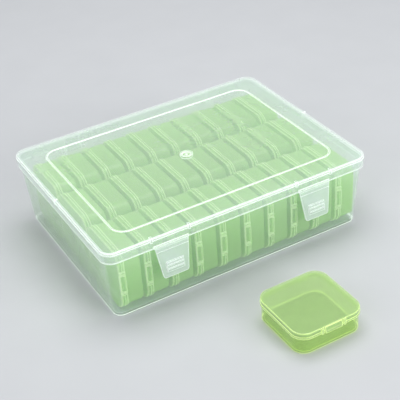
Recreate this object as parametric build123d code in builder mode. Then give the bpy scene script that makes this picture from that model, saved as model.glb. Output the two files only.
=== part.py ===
from build123d import *
import os
from math import cos, radians, sin, tan

# A clear storage case for beads. A drafted tray stands under a hinged lid with two front
# latches. Thirty small hinged boxes stand on edge in it, three rows of ten, their lids towards
# -X and their pull tabs towards the front. One more small box lies in front of the case.
# Units are millimetres, +Z is up, the front is -Y, and the origin is the middle of the tray's
# flat underside.

# Small boxes in the case
box_side = 54.0
box_thick = 19.4
box_corner = 10.4

# The box that lies in front of the case
loose_side = 59.4
loose_thick = 19.6
loose_corner = 11.5
loose_x = 5.1
loose_y = -168.5

# Small box, both sizes
box_wall = 1.1
box_floor = 1.2
box_plate = 1.2
box_lid_height = 5.4
box_band_height = 2.0
box_band_step = 0.25
box_ledge = 1.05
box_neck_drop = 0.6
box_gap = 0.3
box_foot_round = 1.2
box_top_round = 0.4

# Small box pull tab and the two ribs beside it
tab_width = 14.8
tab_reach = 1.2
tab_lip = 1.6
rib_spacing = 19.5
rib_width = 1.8
rib_reach = 0.9

# Small box hinge, two sites on the back edge
small_pin_radius = 0.6
small_knuckle_radius = 1.25
small_knuckle_width = 3.4
small_ear_width = 1.5
small_hinge_spacing = 28.6
small_hinge_inset = 0.3

# Layout of the boxes in the case
columns = 10
rows = 3
column_gap = 2.8
row_gap = 1.4
left_play = 5.0
right_play = 0.45
front_play = 0.25
back_play = 0.7
headroom = 7.9

# Tray
tray_wall = 1.4
tray_floor = 2.2
tray_draw = 4.45
tray_foot_corner = 7.5
tray_foot_round = 2.0
tray_floor_round = 1.0

# Case lid
lid_corner = 10.5
lid_wall = 1.45
lid_plate = 1.5
lid_height = 10.3
lid_gap = 0.5
lid_rest_gap = 0.3
lid_skirt_draw = 0.4
lid_step = 2.6
lid_groove_depth = 0.55
lid_bead_inset = 0.3
lid_bead_height = 1.3
lid_top_round = 0.5

# Raised line round the middle of the lid, and the gate well at its centre
panel_inset_x = 19.8
panel_inset_y = 18.3
panel_corner = 12.0
panel_line_width = 1.3
panel_line_height = 0.5
gate_ring_radius = 5.2
gate_well_radius = 3.7
gate_well_depth = 0.9
gate_drop = 1.0
gate_nub_radius = 0.9
gate_nub_height = 0.5

# Short bars across the lid's rim
bar_width = 1.6
bar_length = 3.0
bar_height = 4.2
bar_proud = 0.3
bar_offset = 16.2

# Front latches
latch_x = 65.0
latch_top_width = 28.4
latch_foot_width = 21.4
latch_length = 26.5
latch_thick = 1.4
latch_web_thick = 0.9
latch_web_length = 3.3
latch_flare = 8.0
latch_foot_corner = 2.0
latch_bead_radius = 0.7
latch_pad_proud = 0.35
latch_pad_height = 2.4
grip_width = 15.0
grip_height = 8.6
grip_raise = 1.1
grip_wall = 1.0
grip_down = 17.5
ridge_height = 1.2
ridge_raise = 0.6
ridge_spacing = 3.0
hook_width = 12.0
hook_height = 2.0
hook_down = 13.6
catch_width = 14.0
catch_reach = 1.0
catch_height = 1.6
catch_slope = 2.0
catch_gap = 0.35

# Rear hinge of the case, two sites
hinge_x = 65.0
hinge_pin_radius = 1.1
hinge_knuckle_radius = 2.3
hinge_knuckle_width = 14.0
hinge_ear_width = 4.0
hinge_side_gap = 0.3
hinge_out = 0.8
hinge_drop = 2.9
hinge_ear_foot = 6.0

# Running clearance on the radius of every hinge pin
pin_clearance = 0.06

# Sizes that follow
box_cavity_inset = 2 * box_wall + box_gap

column_pitch = box_thick + column_gap
row_pitch = box_side + row_gap
inner_width = left_play + columns * column_pitch - column_gap + right_play
inner_depth = front_play + rows * row_pitch - row_gap + back_play
first_column = left_play - inner_width / 2
first_row = front_play + box_side / 2 - inner_depth / 2

case_height = tray_floor + box_side + headroom + lid_plate
lid_top_inside = case_height - lid_plate
tray_height = lid_top_inside - lid_rest_gap
rim_inset = lid_wall + lid_gap
foot_inset = rim_inset + tray_draw
tray_slope = tray_draw / tray_height
case_width = inner_width + 2 * (tray_wall + foot_inset - tray_slope * tray_floor)
case_depth = inner_depth + 2 * (tray_wall + foot_inset - tray_slope * tray_floor)
skirt_edge = case_height - lid_height
step_z = case_height - lid_step
front_y = -case_depth / 2
back_y = case_depth / 2

latch_axis_y = front_y - latch_pad_proud
latch_axis_z = skirt_edge - 0.1
hinge_axis_y = back_y + hinge_out
hinge_axis_z = skirt_edge - hinge_drop
small_bore_radius = small_pin_radius + pin_clearance
hinge_bore_radius = hinge_pin_radius + pin_clearance
latch_groove_radius = latch_bead_radius + pin_clearance


def tray_inset(z):
    """How far the tray's outside lies inside the lid's outline at a height."""
    return foot_inset - tray_slope * z


def box_outline(side, corner, inset):
    """A small box's outline, drawn in by an inset."""
    return RectangleRounded(side - 2 * inset, side - 2 * inset, max(corner - inset, 0.5))


def case_outline(inset, corner):
    """The case's outline, drawn in by an inset."""
    return RectangleRounded(case_width - 2 * inset, case_depth - 2 * inset, max(corner, 0.5))


def hinge_sites(spacing, widths):
    """Where pieces stand along a hinge axis: offsets from each site's middle, both sites."""
    return [site + offset for site in (-spacing / 2, spacing / 2) for offset in widths]


def small_axis(side, thick):
    """Where a small box's hinge axis runs: its Y and Z with the box lying down."""
    return side / 2 - small_hinge_inset, thick - box_lid_height


def make_box_base(side, thick, corner):
    """The lower half of a small box, lying with its mouth up, its tab side towards -Y."""
    lid_edge = thick - box_lid_height
    shelf = lid_edge - box_gap
    neck_top = thick - box_plate - box_neck_drop
    ear_inside = side / 2 - box_cavity_inset + 0.3
    ear_offset = small_knuckle_width / 2 + box_gap / 2 + small_ear_width / 2
    ear_drop = 2.2 * small_knuckle_radius
    axis_y, axis_z = small_axis(side, thick)
    with BuildPart() as base:
        with BuildSketch():
            box_outline(side, corner, box_ledge)
        extrude(amount=shelf)
        fillet(base.faces().sort_by(Axis.Z)[0].edges(), box_foot_round)
        with BuildSketch(Plane.XY.offset(shelf)):
            box_outline(side, corner, box_wall + box_gap)
        extrude(amount=neck_top - shelf)
        for x in hinge_sites(small_hinge_spacing, (-ear_offset, ear_offset)):
            with BuildSketch(Plane.YZ.offset(x)):
                with Locations((axis_y, axis_z)):
                    Circle(small_knuckle_radius)
                with BuildLine():
                    Polyline(
                        (ear_inside, axis_z),
                        (axis_y + small_knuckle_radius, axis_z),
                        (side / 2 - box_ledge, axis_z - ear_drop),
                        (ear_inside, axis_z - ear_drop),
                        close=True,
                    )
                make_face()
            extrude(amount=small_ear_width / 2, both=True)
            with BuildSketch(Plane.YZ.offset(x)):
                with Locations((axis_y, axis_z)):
                    Circle(small_bore_radius)
            extrude(amount=small_ear_width, both=True, mode=Mode.SUBTRACT)
        # room for the lid's knuckles to turn in
        for x in hinge_sites(small_hinge_spacing, (0,)):
            with BuildSketch(Plane.YZ.offset(x)):
                with Locations((axis_y, axis_z)):
                    Circle(small_knuckle_radius + box_gap)
            extrude(amount=(small_knuckle_width + box_gap) / 2, both=True, mode=Mode.SUBTRACT)
        with BuildSketch(Plane.XY.offset(box_floor)):
            box_outline(side, corner, box_cavity_inset)
        extrude(amount=thick, mode=Mode.SUBTRACT)
    return base.part


def make_box_lid(side, thick, corner):
    """The hinged cap of a small box, closed on its base, with its pull tab and hinge knuckles."""
    front = -side / 2
    lid_edge = thick - box_lid_height
    tab_root = front + box_wall
    pin_length = small_knuckle_width + box_gap + 2 * small_ear_width
    ear_offset = small_knuckle_width / 2 + box_gap / 2 + small_ear_width / 2
    notch_width = small_ear_width + 2 * box_gap
    axis_y, axis_z = small_axis(side, thick)
    with BuildPart() as lid:
        with BuildSketch(Plane.XY.offset(lid_edge)):
            box_outline(side, corner, 0)
        extrude(amount=box_band_height)
        with BuildSketch(Plane.XY.offset(lid_edge)):
            box_outline(side, corner, box_band_step)
        extrude(amount=box_lid_height)
        fillet(lid.faces().sort_by(Axis.Z)[-1].edges(), box_top_round)
        # the pull tab with its lip, and the rib on each side of it
        with BuildSketch(Plane.YZ):
            with BuildLine():
                Polyline(
                    (tab_root, lid_edge),
                    (front - tab_reach, lid_edge),
                    (front - tab_reach, lid_edge + tab_lip),
                    (front - 0.3, lid_edge + 2.5 * tab_lip),
                    (front - 0.3, thick - box_top_round),
                    (tab_root, thick - box_top_round),
                    close=True,
                )
            make_face()
        extrude(amount=tab_width / 2, both=True)
        for x in (-rib_spacing / 2, rib_spacing / 2):
            with BuildSketch(Plane.YZ.offset(x)):
                with BuildLine():
                    Polyline(
                        (tab_root, lid_edge),
                        (front - rib_reach, lid_edge),
                        (front - rib_reach, thick - rib_reach),
                        (front, thick),
                        (tab_root, thick),
                        close=True,
                    )
                make_face()
            extrude(amount=rib_width / 2, both=True)
        with BuildSketch(Plane.XY.offset(lid_edge)):
            box_outline(side, corner, box_wall)
        extrude(amount=box_lid_height - box_plate, mode=Mode.SUBTRACT)
        # notches for the base's ears, then the knuckles and their pins
        for x in hinge_sites(small_hinge_spacing, (-ear_offset, ear_offset)):
            with BuildSketch(Plane.YZ.offset(x)):
                with Locations((axis_y, axis_z)):
                    Circle(small_knuckle_radius + box_gap)
            extrude(amount=notch_width / 2, both=True, mode=Mode.SUBTRACT)
        for x in hinge_sites(small_hinge_spacing, (0,)):
            with BuildSketch(Plane.YZ.offset(x)):
                with Locations((axis_y, axis_z)):
                    Circle(small_knuckle_radius)
            extrude(amount=small_knuckle_width / 2, both=True)
            with BuildSketch(Plane.YZ.offset(x)):
                with Locations((axis_y, axis_z)):
                    Circle(small_pin_radius)
            extrude(amount=pin_length / 2, both=True)
    return lid.part


def standing(column, row):
    """Where a small box stands in the case: on edge, lid towards -X, tab towards the front."""
    x = first_column + column * column_pitch + box_thick
    y = first_row + row * row_pitch
    return Location((x, y, tray_floor + box_side / 2)) * Rotation(0, -90, 0)


# Tray
with BuildPart() as tray:
    with BuildSketch():
        case_outline(foot_inset, tray_foot_corner)
    with BuildSketch(Plane.XY.offset(tray_height)):
        case_outline(rim_inset, lid_corner - rim_inset)
    loft()
    fillet(tray.faces().sort_by(Axis.Z)[0].edges(), tray_foot_round)
    # catches that the latches' hooks snap behind, on the front wall
    catch_z = latch_axis_z - hook_down + catch_gap
    catch_y = front_y + tray_inset(catch_z)
    for x in (-latch_x, latch_x):
        with BuildSketch(Plane.YZ.offset(x)):
            with BuildLine():
                Polyline(
                    (catch_y + tray_wall / 2, catch_z),
                    (catch_y - catch_reach, catch_z),
                    (catch_y - catch_reach, catch_z + catch_height),
                    (catch_y + tray_wall / 2, catch_z + catch_height + catch_slope),
                    close=True,
                )
            make_face()
        extrude(amount=catch_width / 2, both=True)
    # ears that carry the lid's hinge pins, on the back wall
    ear_y = back_y - tray_inset(hinge_axis_z) - tray_wall / 2
    ear_middle = hinge_knuckle_width / 2 + hinge_side_gap + hinge_ear_width / 2
    for x in hinge_sites(2 * hinge_x, (-ear_middle, ear_middle)):
        with BuildSketch(Plane.YZ.offset(x)):
            with Locations((hinge_axis_y, hinge_axis_z)):
                Circle(hinge_knuckle_radius)
            with BuildLine():
                Polyline(
                    (ear_y, hinge_axis_z + hinge_knuckle_radius),
                    (hinge_axis_y, hinge_axis_z + hinge_knuckle_radius),
                    (hinge_axis_y + hinge_knuckle_radius, hinge_axis_z),
                    (hinge_axis_y, hinge_axis_z - hinge_knuckle_radius),
                    (ear_y, hinge_axis_z - hinge_ear_foot),
                    close=True,
                )
            make_face()
        extrude(amount=hinge_ear_width / 2, both=True)
        with BuildSketch(Plane.YZ.offset(x)):
            with Locations((hinge_axis_y, hinge_axis_z)):
                Circle(hinge_bore_radius)
        extrude(amount=hinge_ear_width, both=True, mode=Mode.SUBTRACT)
    with BuildSketch(Plane.XY.offset(tray_floor)):
        case_outline(tray_inset(tray_floor) + tray_wall, tray_foot_corner - tray_wall)
    with BuildSketch(Plane.XY.offset(tray_height)):
        case_outline(rim_inset + tray_wall, lid_corner - rim_inset - tray_wall)
    loft(mode=Mode.SUBTRACT)
    inside_floor = tray.faces().filter_by(Axis.Z).group_by(Axis.Z)[1].sort_by(SortBy.AREA)[-1]
    fillet(inside_floor.edges(), tray_floor_round)

# Case lid
with BuildPart() as lid:
    with BuildSketch(Plane.XY.offset(skirt_edge)):
        case_outline(lid_skirt_draw, lid_corner - lid_skirt_draw)
    with BuildSketch(Plane.XY.offset(step_z)):
        case_outline(0, lid_corner)
    loft()
    with BuildSketch(Plane.XY.offset(step_z)):
        case_outline(lid_groove_depth, lid_corner - lid_groove_depth)
    extrude(amount=lid_step - lid_bead_height)
    with BuildSketch(Plane.XY.offset(case_height - lid_bead_height)):
        case_outline(lid_bead_inset, lid_corner - lid_bead_inset)
    extrude(amount=lid_bead_height)
    fillet(lid.faces().sort_by(Axis.Z)[-1].edges(), lid_top_round)
    # the raised line round the middle
    line_width = case_width - 2 * panel_inset_x
    line_depth = case_depth - 2 * panel_inset_y
    with BuildSketch(Plane.XY.offset(case_height)):
        RectangleRounded(line_width, line_depth, panel_corner)
        RectangleRounded(
            line_width - 2 * panel_line_width,
            line_depth - 2 * panel_line_width,
            panel_corner - panel_line_width,
            mode=Mode.SUBTRACT,
        )
    extrude(amount=panel_line_height, taper=20)
    # short bars across the rim: beside each latch, and in the middle of each short side
    bar_z = case_height + bar_proud
    bars = [(side * latch_x + offset, front_y, 0) for side in (-1, 1) for offset in (-bar_offset, bar_offset)]
    bars += [(-case_width / 2, 0, 270), (case_width / 2, 0, 90)]
    for x, y, turn in bars:
        with BuildSketch(Plane((x, y, bar_z)).rotated((0, 0, turn))):
            with Locations((0, bar_length / 2 - bar_proud)):
                Rectangle(bar_width, bar_length)
        extrude(amount=-bar_height)
    # thicker lip over each latch, which its hinge bead turns under
    pad_depth = lid_wall + latch_pad_proud
    for x in (-latch_x, latch_x):
        with BuildSketch(Plane((x, latch_axis_y + pad_depth / 2, skirt_edge))):
            Rectangle(latch_top_width + 1.0, pad_depth)
        extrude(amount=latch_pad_height)
    # arms and knuckles of the rear hinge
    arm_y = hinge_axis_y - hinge_knuckle_radius
    for x in (-hinge_x, hinge_x):
        with BuildSketch(Plane.YZ.offset(x)):
            with Locations((hinge_axis_y, hinge_axis_z)):
                Circle(hinge_knuckle_radius)
            with BuildLine():
                Polyline(
                    (arm_y, hinge_axis_z),
                    (hinge_axis_y + hinge_knuckle_radius, hinge_axis_z),
                    (back_y, step_z - lid_step / 2),
                    (back_y - lid_wall / 2, step_z - lid_step / 2),
                    (back_y - lid_wall, skirt_edge),
                    close=True,
                )
            make_face()
        extrude(amount=hinge_knuckle_width / 2, both=True)
        with BuildSketch(Plane.YZ.offset(x)):
            with Locations((hinge_axis_y, hinge_axis_z)):
                Circle(hinge_pin_radius)
        extrude(amount=hinge_knuckle_width / 2 + hinge_side_gap + hinge_ear_width, both=True)
    # hollow under the plate
    with BuildSketch(Plane.XY.offset(skirt_edge)):
        case_outline(lid_wall, lid_corner - lid_wall)
    extrude(amount=lid_top_inside - skirt_edge, mode=Mode.SUBTRACT)
    # gate well: a boss under the plate, a round well in it and a nub in the well
    with BuildSketch(Plane.XY.offset(lid_top_inside)):
        Circle(gate_ring_radius)
    extrude(amount=-gate_drop)
    with BuildSketch(Plane.XY.offset(case_height)):
        Circle(gate_ring_radius)
        Circle(gate_well_radius, mode=Mode.SUBTRACT)
    extrude(amount=panel_line_height / 2)
    with BuildSketch(Plane.XY.offset(case_height + panel_line_height)):
        Circle(gate_well_radius)
    extrude(amount=-gate_well_depth - panel_line_height, mode=Mode.SUBTRACT)
    with BuildSketch(Plane.XY.offset(case_height - gate_well_depth)):
        Circle(gate_nub_radius)
    extrude(amount=gate_nub_height)
    # grooves that the latches' beads turn in
    for x in (-latch_x, latch_x):
        with BuildSketch(Plane.YZ.offset(x)):
            with Locations((latch_axis_y, latch_axis_z)):
                Circle(latch_groove_radius)
        extrude(amount=latch_top_width / 2 + pin_clearance, both=True, mode=Mode.SUBTRACT)


def make_latch(x):
    """A front latch: a tapered flap that flares out a little, a hollow grip and a hook."""
    axis = Vector(x, latch_axis_y, latch_axis_z)
    outward = Vector(0, -cos(radians(latch_flare)), sin(radians(latch_flare)))
    flap = Plane(origin=axis, x_dir=(1, 0, 0), z_dir=outward)
    hook_top = latch_axis_z - hook_down
    hook_y = front_y + tray_inset(hook_top) - catch_reach - catch_gap
    flap_y = latch_axis_y - hook_down * tan(radians(latch_flare))
    with BuildPart() as latch:
        with BuildSketch(flap.offset(-latch_thick / 2)) as blade:
            with BuildLine():
                Polyline(
                    (-latch_top_width / 2, 0),
                    (latch_top_width / 2, 0),
                    (latch_foot_width / 2, -latch_length),
                    (-latch_foot_width / 2, -latch_length),
                    close=True,
                )
            make_face()
            fillet(blade.vertices().group_by(Axis.Y)[0], latch_foot_corner)
        extrude(amount=latch_thick)
        # thin web under the bead
        for side in (latch_web_thick / 2, -latch_thick / 2):
            with BuildSketch(flap.offset(side)):
                with Locations((0, (latch_bead_radius - latch_web_length) / 2)):
                    Rectangle(latch_top_width + 1.0, latch_bead_radius + latch_web_length)
            extrude(amount=(latch_thick - latch_web_thick) / 2, mode=Mode.SUBTRACT)
        with BuildSketch(Plane.YZ.offset(x)):
            with Locations((latch_axis_y, latch_axis_z)):
                Circle(latch_bead_radius)
        extrude(amount=latch_top_width / 2, both=True)
        # hollow grip with two ridges
        with BuildSketch(flap.offset(latch_thick / 2)):
            with Locations((0, -grip_down)):
                Rectangle(grip_width, grip_height)
        extrude(amount=grip_raise, taper=12)
        with BuildSketch(flap.offset(latch_thick / 2 + grip_raise - 0.1)):
            for y in (-grip_down - ridge_spacing / 2, -grip_down + ridge_spacing / 2):
                with Locations((0, y)):
                    Rectangle(grip_width - 2 * grip_wall, ridge_height)
        extrude(amount=ridge_raise + 0.1, taper=20)
        with BuildSketch(flap.offset(-latch_thick / 2)):
            with Locations((0, -grip_down)):
                Rectangle(grip_width - 2 * grip_wall, grip_height - 2 * grip_wall)
        extrude(amount=grip_raise + latch_thick - grip_wall, mode=Mode.SUBTRACT)
        # hook behind the flap, over the grip
        with BuildSketch(Plane.YZ.offset(x)):
            with BuildLine():
                Polyline(
                    (flap_y, hook_top),
                    (hook_y, hook_top),
                    (hook_y, hook_top - hook_height / 2),
                    (flap_y - 0.2, hook_top - hook_height),
                    close=True,
                )
            make_face()
        extrude(amount=hook_width / 2, both=True)
    return latch.part


pieces = {"tray": tray.part, "lid": lid.part}
pieces["latch_left"] = make_latch(-latch_x)
pieces["latch_right"] = make_latch(latch_x)

# Small boxes: one base node each, and the three lids of a column in one node
box_base = make_box_base(box_side, box_thick, box_corner)
box_lid = make_box_lid(box_side, box_thick, box_corner)
for column in range(columns):
    for row in range(rows):
        pieces[f"bead_box_base_r{row + 1}_c{column + 1:02d}"] = box_base.moved(standing(column, row))
    column_lids = [box_lid.moved(standing(column, row)) for row in range(rows)]
    pieces[f"bead_box_lids_c{column + 1:02d}"] = Compound(children=column_lids)

loose_place = Location((loose_x, loose_y, 0))
pieces["loose_box_base"] = make_box_base(loose_side, loose_thick, loose_corner).moved(loose_place)
pieces["loose_box_lid"] = make_box_lid(loose_side, loose_thick, loose_corner).moved(loose_place)

os.makedirs("parts", exist_ok=True)
for name, piece in pieces.items():
    piece.label = name
    export_step(piece, f"parts/{name}.step")

print(f"case {case_width:.2f} x {case_depth:.2f} x {case_height:.2f} mm, {len(pieces)} nodes")
print(f"hinge axes: lid y {hinge_axis_y:.3f} z {hinge_axis_z:.3f}, latch y {latch_axis_y:.3f}", end=" ")
loose_axis_y, loose_axis_z = small_axis(loose_side, loose_thick)
print(f"z {latch_axis_z:.3f}, loose y {loose_y + loose_axis_y:.3f} z {loose_axis_z:.3f}")
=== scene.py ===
from math import cos, radians, sin

import bpy
from mathutils import Matrix, Vector

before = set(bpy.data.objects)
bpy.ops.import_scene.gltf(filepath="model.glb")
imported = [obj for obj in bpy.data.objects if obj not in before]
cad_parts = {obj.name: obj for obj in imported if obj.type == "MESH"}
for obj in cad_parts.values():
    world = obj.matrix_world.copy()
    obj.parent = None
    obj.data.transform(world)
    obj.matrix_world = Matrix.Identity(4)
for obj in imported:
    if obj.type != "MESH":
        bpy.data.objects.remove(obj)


def write_size():
    """Updates the scene's view layer."""
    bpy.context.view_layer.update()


write_size()

# Moulded plastic: sizes of its cloudiness and grain, in features a metre, and how deep they dent the shine
CLOUD_SCALE = 55.0
FLOW_SCALE = 16.0
GRAIN_SCALE = 2600.0
CLOUD_DEPTH, CLOUD_STRENGTH = 0.0002, 0.1
GRAIN_DEPTH, GRAIN_STRENGTH = 0.00005, 0.08
BEVEL_SAMPLES = 6
REFRACTION = 1.49

# How far the rounded normal turns from the flat one where an edge begins and where it is full, as cosines
EDGE_BEGINS, EDGE_FULL = 0.998, 0.92

# The painted highlight line at the foot is full below this share of its height, and fades out on level
# faces, by these cosines
FOOT_FULL = 0.75
LEVEL_OUT, LEVEL_FULL = 0.99, 0.9

# Haze is uneven by this share, drifts in wide and small clouds, and thickens where the face is seen side on
HAZE_SWING = 0.18
WIDE_SHARE, CLOUD_SHARE = 0.6, 0.4
SIDE_POWER, SIDE_HAZE = 2.5, 0.45

# The mirror coat is weakest face on
MIRROR_POWER, MIRROR_GAIN, MIRROR_BASE = 5.0, 0.7, 0.035

# Small changes over a face: darkest body colour, lightest tint, smoothest and roughest shine, as factors
BODY_DARK = 0.94
TINT_LIGHT = 1.03
SMOOTHEST, ROUGHEST = 0.85, 1.25

# Colours, linear: the haze and the painted highlight colour along its edges, the mirror coat, and the paper
# on the floor
WHITE = (0.87, 0.945, 0.92)
WHITE_HIGHLIGHT = (0.96, 1.0, 0.985)
LEAF = (0.61, 0.94, 0.27)
LEAF_HIGHLIGHT = (0.86, 1.0, 0.62)
LIME = (0.65, 0.83, 0.37)
LIME_TOP = (0.62, 0.79, 0.44)
LIME_HIGHLIGHT = (0.84, 1.0, 0.42)
COAT = (1.0, 1.0, 1.0)
PAPER_DARK = (0.51, 0.52, 0.535)
PAPER_LIGHT = (0.54, 0.55, 0.565)
PAPER_GRAIN = 180.0


class Shader:
    """A material's node tree, with short calls for its nodes."""

    def __init__(self, name):
        self.material = bpy.data.materials.new(name)
        self.material.use_nodes = True
        self.tree = self.material.node_tree
        self.tree.nodes.clear()
        self.output = self.tree.nodes.new("ShaderNodeOutputMaterial")

    def node(self, kind, inputs=None, **settings):
        """Adds a node. Its inputs take plain values or the outputs of other nodes."""
        new = self.tree.nodes.new(kind)
        for key, value in settings.items():
            setattr(new, key, value)
        for key, value in (inputs or {}).items():
            self.feed(new.inputs[key], value)
        return new

    def feed(self, socket, value):
        """Links an output to the socket, or sets the socket to a plain value."""
        if isinstance(value, bpy.types.NodeSocket):
            self.tree.links.new(value, socket)
        else:
            socket.default_value = value

    def surface(self, shader):
        """Makes a shader output the look of the material."""
        self.tree.links.new(shader, self.output.inputs["Surface"])

    def math(self, operation, a, b=0.0, c=0.0, clamp=False):
        settings = {"operation": operation, "use_clamp": clamp}
        return self.node("ShaderNodeMath", {0: a, 1: b, 2: c}, **settings).outputs[0]

    def noise(self, vector, scale, detail=3.0, roughness=0.5):
        values = {"Vector": vector, "Scale": scale, "Detail": detail, "Roughness": roughness}
        return self.node("ShaderNodeTexNoise", values).outputs["Fac"]

    def bump(self, height, depth, strength, normal=None):
        values = {"Height": height, "Distance": depth, "Strength": strength}
        if normal is not None:
            values["Normal"] = normal
        return self.node("ShaderNodeBump", values).outputs[0]

    def bevel(self, radius, normal=None):
        values = {"Radius": radius}
        if normal is not None:
            values["Normal"] = normal
        return self.node("ShaderNodeBevel", values, samples=BEVEL_SAMPLES).outputs[0]

    def span(self, value, start, end, low, high):
        """Turns the span from start to end into the span from low to high, and holds both ends."""
        values = {"Value": value, "From Min": start, "From Max": end, "To Min": low, "To Max": high}
        return self.node("ShaderNodeMapRange", values).outputs[0]

    def height_of(self, vector):
        return self.node("ShaderNodeSeparateXYZ", {0: vector}).outputs["Z"]

    def mix_colour(self, factor, a, b):
        new = self.node("ShaderNodeMix", data_type="RGBA")
        factor_in, first_in, second_in = new.inputs[0], new.inputs[6], new.inputs[7]
        self.feed(factor_in, factor)
        self.feed(first_in, a)
        self.feed(second_in, b)
        return new.outputs[2]

    def mix(self, factor, a, b):
        return self.node("ShaderNodeMixShader", {0: factor, 1: a, 2: b}).outputs[0]

    def add(self, a, b):
        return self.node("ShaderNodeAddShader", {0: a, 1: b}).outputs[0]


def opaque(colour, factor=1.0):
    """A colour as the nodes take it, made lighter or darker by a factor."""
    return tuple(min(1.0, factor * c) for c in colour) + (1.0,)


def edge_and_foot_highlight_mask(s, place, radius, foot):
    """1 along the moulded edges and 0 in the flat, with a painted highlight line round the foot where foot
    isn't 0.
    """
    flat = s.node("ShaderNodeNewGeometry").outputs["True Normal"]
    turned = s.node("ShaderNodeVectorMath", {0: s.bevel(radius), 1: flat}, operation="DOT_PRODUCT")
    likeness = s.math("ABSOLUTE", turned.outputs["Value"])
    mask = s.span(likeness, EDGE_BEGINS, EDGE_FULL, 0.0, 1.0)
    if foot:
        # A painted highlight line on the rounded edge at the foot, up to this height and not on level faces
        low = s.span(s.height_of(place), foot, foot * FOOT_FULL, 0.0, 1.0)
        level = s.math("ABSOLUTE", s.height_of(flat))
        upright = s.span(level, LEVEL_OUT, LEVEL_FULL, 0.0, 1.0)
        mask = s.math("MAXIMUM", mask, s.math("MULTIPLY", low, upright))
    return mask


def clear_plastic(name, body, edge, tint, haze, edge_haze, edge_radius, rough, through, gleam, foot=0.0):
    """Moulded see-through plastic: hazy in the flat, denser along its edges, with a painted highlight and
    painted glow there.

    body is the colour of the haze in the flat and edge its painted highlight colour at the edges, and tint
    is what light takes on at each face that it passes. haze and edge_haze say how much of the face is haze,
    through how much of the haze lets light through, and gleam how brightly the edges glow, a painted
    highlight. rough is how blurred the shine is.
    edge_radius is the width of the painted edge highlights, and foot the height of the painted highlight
    line round the foot.
    """
    s = Shader(name)
    place = s.node("ShaderNodeTexCoord").outputs["Object"]
    cloud = s.noise(place, CLOUD_SCALE, detail=4.0, roughness=0.55)
    flow = s.noise(place, FLOW_SCALE, detail=2.0, roughness=0.5)
    grain = s.noise(place, GRAIN_SCALE, detail=2.0, roughness=0.6)
    edges = edge_and_foot_highlight_mask(s, place, edge_radius, foot)

    # The shine follows small waves and grain, and rounds the edges
    wave = s.bump(cloud, CLOUD_DEPTH, CLOUD_STRENGTH)
    normal = s.bevel(edge_radius, s.bump(grain, GRAIN_DEPTH, GRAIN_STRENGTH, wave))

    # The haze takes its colour from the place on the piece and its density also from the view
    colour = s.mix_colour(cloud, opaque(body, BODY_DARK), opaque(body))
    # Along the edges the colour turns to the painted highlight colour
    colour = s.mix_colour(edges, colour, opaque(edge))
    facing = s.node("ShaderNodeLayerWeight", {"Blend": 0.5}).outputs["Facing"]
    drift = s.math("MULTIPLY_ADD", flow, WIDE_SHARE, s.math("MULTIPLY", cloud, CLOUD_SHARE))
    density = s.span(drift, 0.0, 1.0, haze * (1 - HAZE_SWING), haze * (1 + HAZE_SWING))
    side_on = s.math("POWER", facing, SIDE_POWER)
    density = s.math("ADD", density, s.math("MULTIPLY", side_on, SIDE_HAZE))
    density = s.math("MAXIMUM", density, s.math("MULTIPLY", edges, edge_haze), clamp=True)
    shine = s.node("ShaderNodeBsdfPrincipled", {
        "Base Color": colour,
        "Roughness": s.span(grain, 0.0, 1.0, rough * SMOOTHEST, rough * ROUGHEST),
        "IOR": REFRACTION,
        "Normal": normal,
    }).outputs[0]
    glow = s.node("ShaderNodeBsdfTranslucent", {"Color": colour, "Normal": normal}).outputs[0]
    solid = s.mix(through, shine, glow)

    # Between the haze the piece is clear, with a mirror coat and a painted glow along its edges
    tint_here = s.mix_colour(flow, opaque(tint), opaque(tint, TINT_LIGHT))
    clear = s.node("ShaderNodeBsdfTransparent", {"Color": tint_here}).outputs[0]
    coating = {"Color": opaque(COAT), "Roughness": rough, "Normal": normal}
    coat = s.node("ShaderNodeBsdfGlossy", coating).outputs[0]
    mirror = s.math("MULTIPLY_ADD", s.math("POWER", facing, MIRROR_POWER), MIRROR_GAIN, MIRROR_BASE)
    coated = s.mix(mirror, s.mix(density, clear, solid), coat)
    # Painted glow along the edges, a highlight from no lamp
    light = {"Color": opaque(edge), "Strength": s.math("MULTIPLY", edges, gleam)}
    s.surface(s.add(coated, s.node("ShaderNodeEmission", light).outputs[0]))
    s.material.diffuse_color = opaque(body)
    return s.material


def floor_material():
    """Matt paper, a pale grey in the picture, that shows the object's shadow."""
    s = Shader("studio_paper")
    place = s.node("ShaderNodeTexCoord").outputs["Object"]
    colour = s.mix_colour(s.noise(place, PAPER_GRAIN), opaque(PAPER_DARK), opaque(PAPER_LIGHT))
    s.surface(s.node("ShaderNodeBsdfDiffuse", {"Color": colour}).outputs[0])
    return s.material


# The plastics, with lengths in metres
# The second colour of each is the painted highlight along its edges, and gleam its painted glow
tray_plastic = clear_plastic(
    "frosted_tray", WHITE, WHITE_HIGHLIGHT, tint=(0.96, 0.99, 0.975), haze=0.17, edge_haze=0.90,
    edge_radius=0.0013, rough=0.24, through=0.45, gleam=0.40, foot=0.0022)
lid_plastic = clear_plastic(
    "frosted_lid", WHITE, WHITE_HIGHLIGHT, tint=(0.97, 0.99, 0.98), haze=0.22, edge_haze=0.85,
    edge_radius=0.0013, rough=0.20, through=0.45, gleam=0.45)
latch_plastic = clear_plastic(
    "frosted_latch", WHITE, WHITE_HIGHLIGHT, tint=(0.96, 0.99, 0.975), haze=0.48, edge_haze=0.90,
    edge_radius=0.0011, rough=0.22, through=0.40, gleam=0.25)
box_base_plastic = clear_plastic(
    "leaf_base", LEAF, LEAF_HIGHLIGHT, tint=(0.93, 0.985, 0.83), haze=0.48, edge_haze=0.80,
    edge_radius=0.0010, rough=0.14, through=0.45, gleam=0.22)
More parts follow.
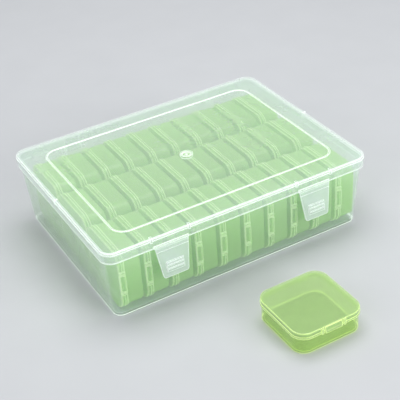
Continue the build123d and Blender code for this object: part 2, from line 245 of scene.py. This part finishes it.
box_lid_plastic = clear_plastic(
    "leaf_lid", LEAF, LEAF_HIGHLIGHT, tint=(0.92, 0.985, 0.80), haze=0.32, edge_haze=0.90,
    edge_radius=0.0015, rough=0.14, through=0.45, gleam=0.30)
loose_base_plastic = clear_plastic(
    "lime_base", LIME, LIME_HIGHLIGHT, tint=(0.92, 0.965, 0.82), haze=0.25, edge_haze=0.95,
    edge_radius=0.0010, rough=0.12, through=0.50, gleam=0.45, foot=0.0011)
loose_lid_plastic = clear_plastic(
    "lime_lid", LIME_TOP, LIME_HIGHLIGHT, tint=(0.92, 0.965, 0.86), haze=0.36, edge_haze=0.95,
    edge_radius=0.0010, rough=0.10, through=0.40, gleam=0.42)


def plastic_for(name):
    """The plastic of the node with this name."""
    if name == "tray":
        return tray_plastic
    if name == "lid":
        return lid_plastic
    if name.startswith("latch"):
        return latch_plastic
    if name == "loose_box_base":
        return loose_base_plastic
    if name == "loose_box_lid":
        return loose_lid_plastic
    if "lids" in name:
        return box_lid_plastic
    return box_base_plastic


for name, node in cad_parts.items():
    chosen = plastic_for(name)
    if not node.data.materials:
        node.data.materials.append(chosen)
    for slot in node.material_slots:
        slot.material = chosen

# The floor lies just under the object, so that the two don't share a plane
floor_side = 8.0
floor_drop = 0.0004
bpy.ops.mesh.primitive_plane_add(size=1.0, location=(0, 0, -floor_drop))
floor = bpy.context.object
floor.name = "studio_floor"
floor.scale = (floor_side, floor_side, 1)
floor.data.materials.append(floor_material())

# The world is white where the camera sees it, straight or through the plastic, and softer as a light
light_colour, light_strength = (0.93, 0.96, 1.0, 1.0), 0.45
seen_colour, seen_strength = (1.0, 1.0, 1.0, 1.0), 1.0
world = bpy.data.worlds.new("studio")
bpy.context.scene.world = world
world.use_nodes = True
tree = world.node_tree
tree.nodes.clear()
path = tree.nodes.new("ShaderNodeLightPath")
seen = tree.nodes.new("ShaderNodeMath")
seen.operation = "MAXIMUM"
tree.links.new(path.outputs["Is Camera Ray"], seen.inputs[0])
tree.links.new(path.outputs["Is Transmission Ray"], seen.inputs[1])
both = tree.nodes.new("ShaderNodeMixShader")
tree.links.new(seen.outputs[0], both.inputs[0])
for socket, colour, strength in ((1, light_colour, light_strength), (2, seen_colour, seen_strength)):
    background = tree.nodes.new("ShaderNodeBackground")
    background.inputs["Color"].default_value = colour
    background.inputs["Strength"].default_value = strength
    tree.links.new(background.outputs[0], both.inputs[socket])
world_output = tree.nodes.new("ShaderNodeOutputWorld")
tree.links.new(both.outputs[0], world_output.inputs[0])


def soft_light(name, place, aim, size, power, mirrored):
    """A rectangular lamp. mirrored says whether the plastic's shine shows it."""
    data = bpy.data.lights.new(name, "AREA")
    data.shape = "RECTANGLE"
    data.size, data.size_y = size
    data.energy = power
    lamp = bpy.data.objects.new(name, data)
    bpy.context.collection.objects.link(lamp)
    lamp.location = place
    lamp.rotation_euler = (Vector(aim) - Vector(place)).to_track_quat("-Z", "Y").to_euler()
    lamp.visible_glossy = mirrored


# Lamps, in metres and watts
soft_light(
    "top_box", place=(0.1, 0.25, 1.35), aim=(0, 0, 0), size=(1.3, 1.0), power=15, mirrored=True)
soft_light(
    "left_box", place=(-1.15, -0.45, 0.65), aim=(0, 0, 0.03), size=(0.9, 0.9), power=4, mirrored=False)
soft_light(
    "front_box", place=(0.55, -1.2, 0.55), aim=(0, -0.05, 0.03), size=(0.9, 0.6), power=10, mirrored=False)

# The photograph's camera: angles in degrees, place in metres, focal length and width in its pixels
heading, tilt, roll = radians(-27.84), radians(33.68), radians(-4.3)
camera_place = (-0.3267, -0.6367, 0.4951)
focal_pixels = 1001.6
photo_width = 400
sensor_width = 36.0
back = Vector((sin(heading) * cos(tilt), -cos(heading) * cos(tilt), sin(tilt)))
right = (-back).cross(Vector((0, 0, 1))).normalized()
up = right.cross(-back)
camera_x = right * cos(roll) + up * sin(roll)
camera_y = up * cos(roll) - right * sin(roll)
lens = bpy.data.cameras.new("photo_camera")
lens.sensor_width = sensor_width
lens.lens = focal_pixels / photo_width * sensor_width
lens.clip_start = 0.01
camera = bpy.data.objects.new("photo_camera", lens)
bpy.context.collection.objects.link(camera)
turn = Matrix((camera_x, camera_y, back)).transposed().to_4x4()
camera.matrix_world = Matrix.Translation(camera_place) @ turn
scene = bpy.context.scene
scene.camera = camera
scene.view_settings.view_transform = "Standard"

# Light passes many thin walls before it reaches the camera
scene.cycles.max_bounces = 16
scene.cycles.transparent_max_bounces = 64
scene.cycles.transmission_bounces = 12

write_size()
